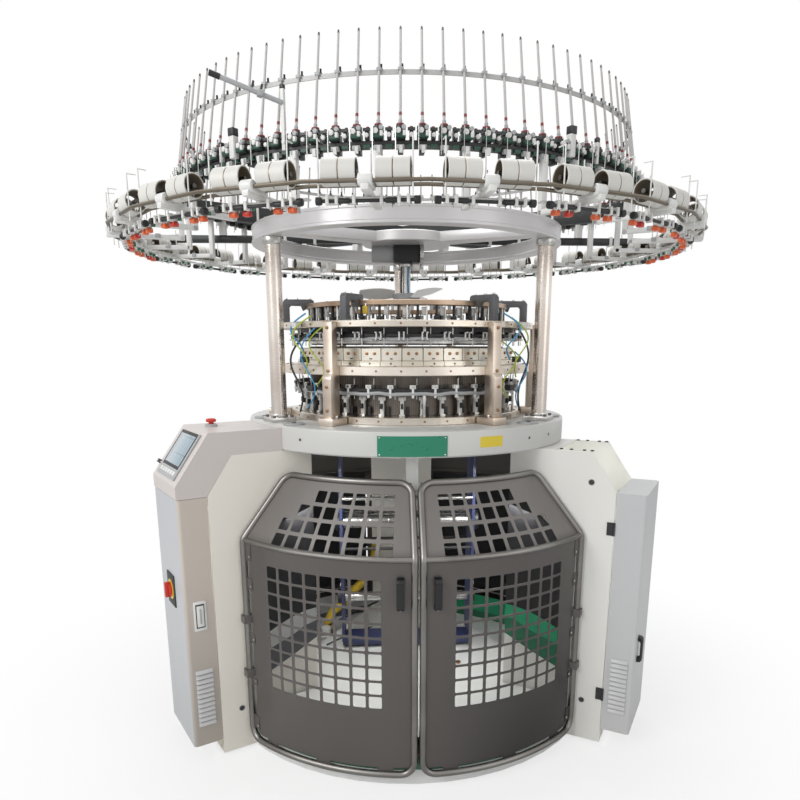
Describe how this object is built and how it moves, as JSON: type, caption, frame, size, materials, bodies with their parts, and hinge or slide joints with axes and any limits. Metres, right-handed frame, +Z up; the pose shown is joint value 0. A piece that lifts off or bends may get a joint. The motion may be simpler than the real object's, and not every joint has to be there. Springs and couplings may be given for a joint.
{
  "type": "circular knitting machine",
  "caption": "Circular knitting machine: three cabinet legs, a ring bed with a needle cylinder and dial, guards, a gantry, and a crown of yarn rods and rollers.",
  "frame": {"origin": "on the floor, under the cylinder's axis", "axes": "+Z up along the cylinder's axis, -Y to the machine's front where the two guards meet, +X to the right cabinet"},
  "size_m": [2.51, 2.4174, 2.5336],
  "materials": {
    "cream_paint": "satin",
    "grey_paint": "satin",
    "light_paint": "satin",
    "console_paint": "satin",
    "guard_grey": "satin",
    "dark_metal": "satin",
    "white_paint": "gloss",
    "pan_paint": "satin",
    "blue_paint": "satin",
    "nickel": "satin",
    "steel": "satin",
    "chrome": "polished",
    "cast": "satin",
    "bronze": "satin",
    "black_plastic": "matte",
    "white_plastic": "matte",
    "grey_plastic": "matte",
    "red_plastic": "gloss",
    "screen_glass": "gloss",
    "rubber": "matte"
  },
  "bodies": {
    "machine": {"bed_plate": "light_paint", "cam_plates": "nickel", "cam_ring_posts": "nickel", "control_console": "console_paint", "data_stick": "black_plastic", "dial_cam_ring": "bronze", "dial_drive_box": "dark_metal", "dial_ring_arms": "dark_metal", "drive_cables": "rubber", "drive_motor": "dark_metal", "feeder_ring": "dark_metal", "floor_pan": "pan_paint", "front_bracket": "light_paint", "gantry_ring": "cast", "guide_blocks": "steel", "guide_rods": "white_plastic", "hinges": "black_plastic", "leg_left": "cream_paint", "leg_rear": "cream_paint", "leg_right": "cream_paint", "lower_cam_ring": "nickel", "lower_yarn_carriers": "white_plastic", "middle_cam_ring": "nickel", "pillar_left": "chrome", "pillar_rear": "chrome", "pillar_right": "chrome", "rail_brackets": "white_paint", "rear_left_guard": "guard_grey", "rear_right_guard": "guard_grey", "rod_band": "light_paint", "roller_rail": "steel", "screen_bezel": "grey_plastic", "stop_button_collar": "grey_plastic", "stop_detectors": "white_plastic", "support_beams": "dark_metal", "touch_screen": "screen_glass", "upper_cam_ring": "nickel", "upper_yarn_carriers": "white_plastic", "yarn_feeders": "dark_metal", "yarn_posts": "white_plastic", "yarn_rollers": "white_plastic"},
    "rotor": {"needle_cylinder": "steel", "takedown_frame": "blue_paint"},
    "front_take_down_roller": {"takedown_roller_front": "steel"},
    "rear_take_down_roller": {"takedown_roller_rear": "steel"},
    "cloth_winder": {"cloth_shaft": "steel"},
    "dial_body": {"dial": "steel"},
    "fan": {"lint_fan": "grey_plastic"},
    "left_guard": {"front_left_guard": "guard_grey", "left_guard_handle": "black_plastic"},
    "right_guard": {"front_right_guard": "guard_grey", "right_guard_handle": "black_plastic"},
    "left_cover": {"left_cabinet_cover": "grey_paint", "left_cover_latch": "cream_paint", "main_switch_plate": "black_plastic"},
    "right_cover": {"right_cabinet_cover": "grey_paint", "right_cover_handle": "black_plastic"},
    "rear_cover": {"rear_cabinet_cover": "grey_paint"},
    "stop": {"stop_button": "red_plastic"},
    "main_switch": {"main_switch_knob": "red_plastic"}
  },
  "joints": [
    {"name": "cylinder_spin", "type": "hinge", "parent": "machine", "child": "rotor", "pos_m": [0, 0, 1.3225], "axis": [0, 0, 1], "continuous": true},
    {"name": "dial_spin", "type": "hinge", "parent": "machine", "child": "dial_body", "pos_m": [0, 0, 1.626], "axis": [0, 0, 1], "continuous": true},
    {"name": "front_roller_spin", "type": "hinge", "parent": "rotor", "child": "front_take_down_roller", "pos_m": [0, -0.034, 0.82], "axis": [1, 0, 0], "continuous": true},
    {"name": "rear_roller_spin", "type": "hinge", "parent": "rotor", "child": "rear_take_down_roller", "pos_m": [0, 0.034, 0.82], "axis": [1, 0, 0], "continuous": true},
    {"name": "cloth_shaft_spin", "type": "hinge", "parent": "rotor", "child": "cloth_winder", "pos_m": [0, 0, 0.43], "axis": [1, 0, 0], "continuous": true},
    {"name": "lint_fan_spin", "type": "hinge", "parent": "machine", "child": "fan", "pos_m": [0, 0, 1.83], "axis": [0, 0, 1], "continuous": true},
    {"name": "left_guard_hinge", "type": "hinge", "parent": "machine", "child": "left_guard", "pos_m": [-0.65837, -0.59142, 0.5], "axis": [0, 0, -1], "range_deg": [0, 90]},
    {"name": "right_guard_hinge", "type": "hinge", "parent": "machine", "child": "right_guard", "pos_m": [0.65837, -0.59142, 0.5], "axis": [0, 0, 1], "range_deg": [0, 90]},
    {"name": "left_cover_hinge", "type": "hinge", "parent": "machine", "child": "left_cover", "pos_m": [-0.93893, -0.34672, 0.575], "axis": [0, 0, -1], "range_deg": [0, 100]},
    {"name": "right_cover_hinge", "type": "hinge", "parent": "machine", "child": "right_cover", "pos_m": [0.93893, -0.34672, 0.575], "axis": [0, 0, 1], "range_deg": [0, 100]},
    {"name": "rear_cover_hinge", "type": "hinge", "parent": "machine", "child": "rear_cover", "pos_m": [0.1692, 0.9865, 0.575], "axis": [0, 0, -1], "range_deg": [0, 100]},
    {"name": "stop_button_press", "type": "slide", "parent": "machine", "child": "stop", "axis": [0, 0, -1], "range_m": [0, 0.005], "stiffness_N_per_m": 500, "springref_m": -0.001},
    {"name": "main_switch_turn", "type": "hinge", "parent": "left_cover", "child": "main_switch", "pos_m": [-0.95696, -0.5525, 0.69], "axis": [-0.866, -0.5, 0], "range_deg": [-90, 0]}
  ],
  "couplings": [
    {"joint": "dial_spin", "follows": "cylinder_spin", "ratio": 1},
    {"joint": "rear_roller_spin", "follows": "front_roller_spin", "ratio": -1},
    {"joint": "cloth_shaft_spin", "follows": "front_roller_spin", "ratio": 1.3333}
  ]
}
